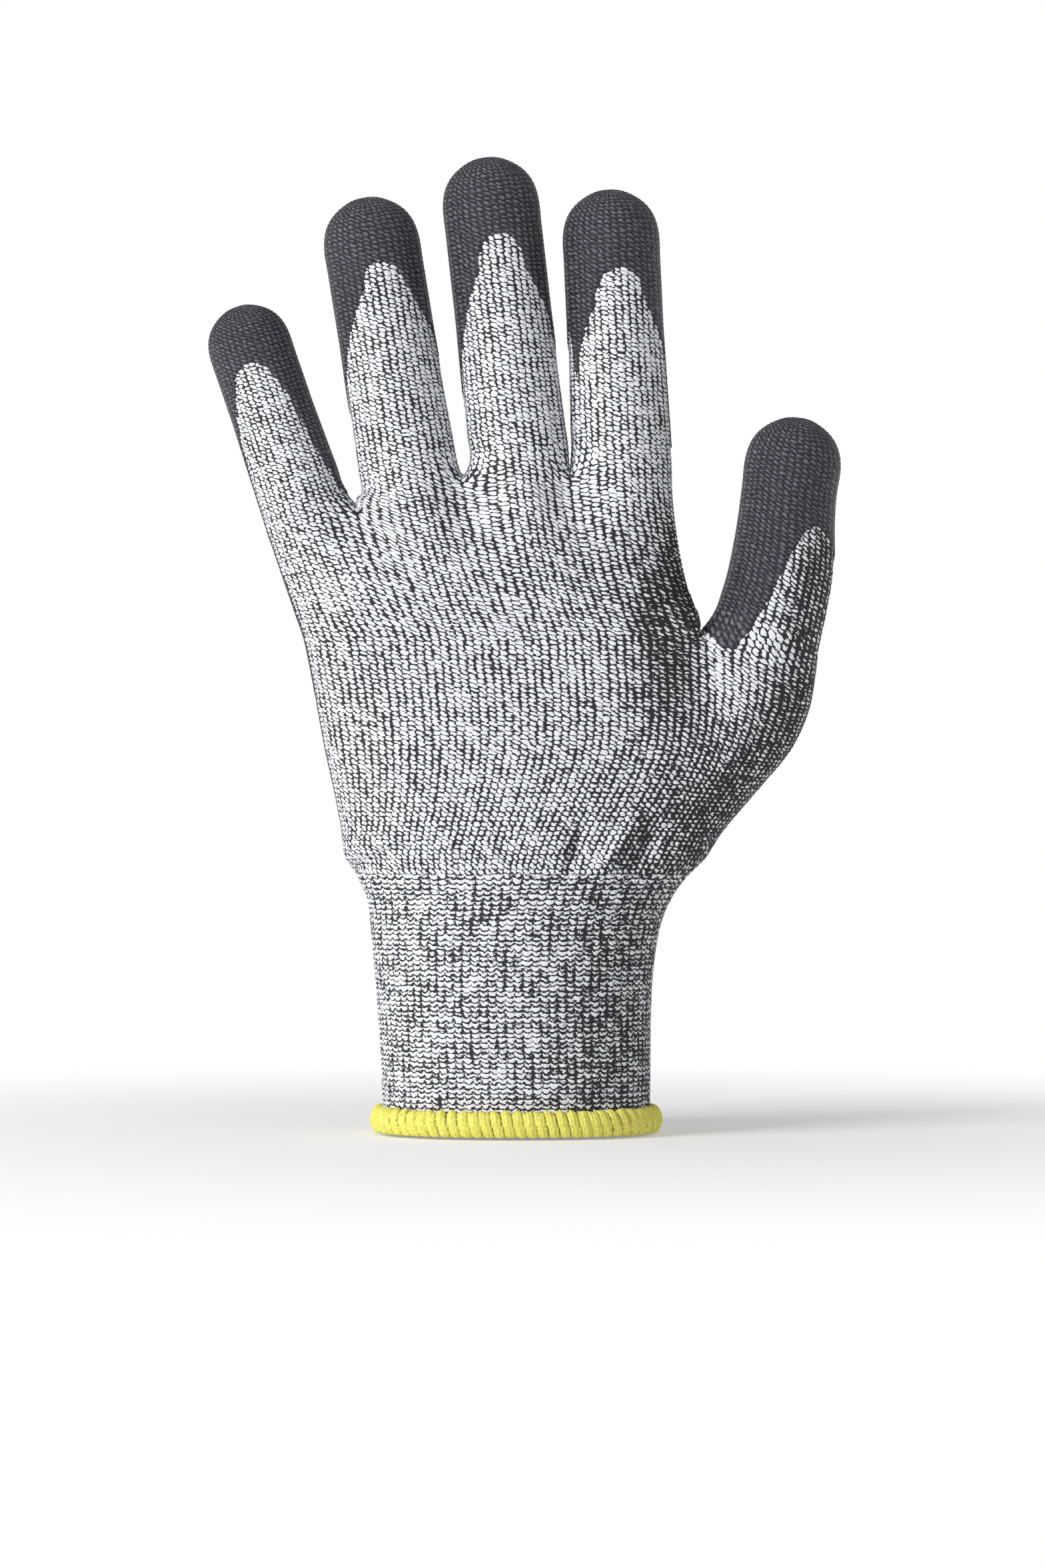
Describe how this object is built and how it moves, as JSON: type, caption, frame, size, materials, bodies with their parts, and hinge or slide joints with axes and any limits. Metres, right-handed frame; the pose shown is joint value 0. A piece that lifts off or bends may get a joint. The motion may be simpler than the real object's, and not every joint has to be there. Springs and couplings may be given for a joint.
{
  "type": "cut resistant glove",
  "caption": "Left-hand knitted cut resistant work glove with a rubber-dipped palm and fingertips, an elastic cuff and an overlocked hem.",
  "frame": {"origin": "centre of the cuff's mouth, on the hem's lower face", "axes": "+Z from the cuff to the fingertips, +X towards the thumb, +Y out of the palm (the back of the hand faces -Y)"},
  "size_m": [0.1558, 0.0538, 0.2408],
  "materials": {
    "knit_liner": "matte",
    "knit_cuff": "matte",
    "dipped_coating": "satin",
    "hem_thread": "matte",
    "elastic_thread": "matte"
  },
  "bodies": {
    "cuff": {"cuff_rib": "knit_cuff", "hem_overlock": "hem_thread", "cuff_elastic_1": "elastic_thread", "cuff_elastic_2": "elastic_thread", "cuff_elastic_3": "elastic_thread", "cuff_elastic_4": "elastic_thread", "cuff_elastic_5": "elastic_thread", "wrist_flex": "knit_liner"},
    "palm": {"palm_liner": "knit_liner", "palm_coating": "dipped_coating", "little_root_flex": "knit_liner", "ring_root_flex": "knit_liner", "middle_root_flex": "knit_liner", "index_root_flex": "knit_liner", "thumb_web_flex": "knit_liner"},
    "little_proximal": {"little_proximal_stall": "knit_liner", "little_proximal_coating": "dipped_coating", "little_first_flex": "knit_liner"},
    "little_middle": {"little_middle_stall": "knit_liner", "little_middle_coating": "dipped_coating", "little_second_flex": "knit_liner"},
    "little_tip": {"little_tip_stall": "knit_liner", "little_tip_coating": "dipped_coating"},
    "ring_proximal": {"ring_proximal_stall": "knit_liner", "ring_proximal_coating": "dipped_coating", "ring_first_flex": "knit_liner"},
    "ring_middle": {"ring_middle_stall": "knit_liner", "ring_middle_coating": "dipped_coating", "ring_second_flex": "knit_liner"},
    "ring_tip": {"ring_tip_stall": "knit_liner", "ring_tip_coating": "dipped_coating"},
    "middle_proximal": {"middle_proximal_stall": "knit_liner", "middle_proximal_coating": "dipped_coating", "middle_first_flex": "knit_liner"},
    "middle_middle": {"middle_middle_stall": "knit_liner", "middle_middle_coating": "dipped_coating", "middle_second_flex": "knit_liner"},
    "middle_tip": {"middle_tip_stall": "knit_liner", "middle_tip_coating": "dipped_coating"},
    "index_proximal": {"index_proximal_stall": "knit_liner", "index_proximal_coating": "dipped_coating", "index_first_flex": "knit_liner"},
    "index_middle": {"index_middle_stall": "knit_liner", "index_middle_coating": "dipped_coating", "index_second_flex": "knit_liner"},
    "index_tip": {"index_tip_stall": "knit_liner", "index_tip_coating": "dipped_coating"},
    "thumb_base": {"thumb_base_stall": "knit_liner", "thumb_base_coating": "dipped_coating", "thumb_root_flex": "knit_liner"},
    "thumb_proximal": {"thumb_proximal_stall": "knit_liner", "thumb_proximal_coating": "dipped_coating", "thumb_knuckle_flex": "knit_liner"},
    "thumb_tip": {"thumb_tip_stall": "knit_liner", "thumb_tip_coating": "dipped_coating"}
  },
  "joints": [
    {"name": "wrist_bend", "type": "hinge", "parent": "cuff", "child": "palm", "pos_m": [0, 0, 0.063], "axis": [-1, 0, 0], "range_deg": [-60, 70], "deforming": ["wrist_flex"]},
    {"name": "little_root_bend", "type": "hinge", "parent": "palm", "child": "little_proximal", "pos_m": [-0.05244, 0.00528, 0.15562], "axis": [-0.9877, 0, -0.1564], "range_deg": [-10, 75], "deforming": ["little_root_flex"]},
    {"name": "little_first_bend", "type": "hinge", "parent": "little_proximal", "child": "little_middle", "pos_m": [-0.05789, 0.00549, 0.17143], "axis": [-0.9455, 0, -0.3256], "range_deg": [0, 85], "deforming": ["little_first_flex"]},
    {"name": "little_second_bend", "type": "hinge", "parent": "little_middle", "child": "little_tip", "pos_m": [-0.06295, 0.00643, 0.18612], "axis": [-0.9455, 0, -0.3256], "range_deg": [0, 30], "deforming": ["little_second_flex"]},
    {"name": "ring_root_bend", "type": "hinge", "parent": "palm", "child": "ring_proximal", "pos_m": [-0.02624, 0.00646, 0.16483], "axis": [-0.9954, 0, -0.0958], "range_deg": [-10, 75], "deforming": ["ring_root_flex"]},
    {"name": "ring_first_bend", "type": "hinge", "parent": "ring_proximal", "child": "ring_middle", "pos_m": [-0.02961, 0.00657, 0.18542], "axis": [-0.9869, 0, -0.1616], "range_deg": [0, 90], "deforming": ["ring_first_flex"]},
    {"name": "ring_second_bend", "type": "hinge", "parent": "ring_middle", "child": "ring_tip", "pos_m": [-0.03307, 0.00749, 0.20656], "axis": [-0.9869, 0, -0.1616], "range_deg": [0, 45], "deforming": ["ring_second_flex"]},
    {"name": "middle_root_bend", "type": "hinge", "parent": "palm", "child": "middle_proximal", "pos_m": [0.00122, 0.00666, 0.16697], "axis": [-0.9976, 0, -0.0698], "range_deg": [-10, 75], "deforming": ["middle_root_flex"]},
    {"name": "middle_first_bend", "type": "hinge", "parent": "middle_proximal", "child": "middle_middle", "pos_m": [-0.00138, 0.00674, 0.18992], "axis": [-0.9937, 0, -0.1123], "range_deg": [0, 90], "deforming": ["middle_first_flex"]},
    {"name": "middle_second_bend", "type": "hinge", "parent": "middle_middle", "child": "middle_tip", "pos_m": [-0.00407, 0.00767, 0.21374], "axis": [-0.9937, 0, -0.1123], "range_deg": [0, 45], "deforming": ["middle_second_flex"]},
    {"name": "index_root_bend", "type": "hinge", "parent": "palm", "child": "index_proximal", "pos_m": [0.02641, 0.0066, 0.1688], "axis": [-0.9997, 0, -0.0262], "range_deg": [-10, 75], "deforming": ["index_root_flex"]},
    {"name": "index_first_bend", "type": "hinge", "parent": "index_proximal", "child": "index_middle", "pos_m": [0.02552, 0.00671, 0.18847], "axis": [-0.999, 0, -0.0454], "range_deg": [0, 90], "deforming": ["index_first_flex"]},
    {"name": "index_second_bend", "type": "hinge", "parent": "index_middle", "child": "index_tip", "pos_m": [0.02459, 0.00763, 0.20891], "axis": [-0.999, 0, -0.0454], "range_deg": [0, 45], "deforming": ["index_second_flex"]},
    {"name": "thumb_swing", "type": "hinge", "parent": "palm", "child": "thumb_base", "pos_m": [0.04762, 0.0024, 0.0976], "axis": [-0.0748, 0, 0.9972], "range_deg": [-8, 25], "deforming": ["thumb_web_flex"]},
    {"name": "thumb_root_bend", "type": "hinge", "parent": "thumb_base", "child": "thumb_proximal", "pos_m": [0.06085, 0.00513, 0.12709], "axis": [0.7946, 0.5988, -0.1004], "range_deg": [-40, 0], "deforming": ["thumb_root_flex"]},
    {"name": "thumb_tip_bend", "type": "hinge", "parent": "thumb_proximal", "child": "thumb_tip", "pos_m": [0.06389, 0.00513, 0.15113], "axis": [0.7946, 0.5988, -0.1004], "range_deg": [-60, 0], "deforming": ["thumb_knuckle_flex"]}
  ]
}
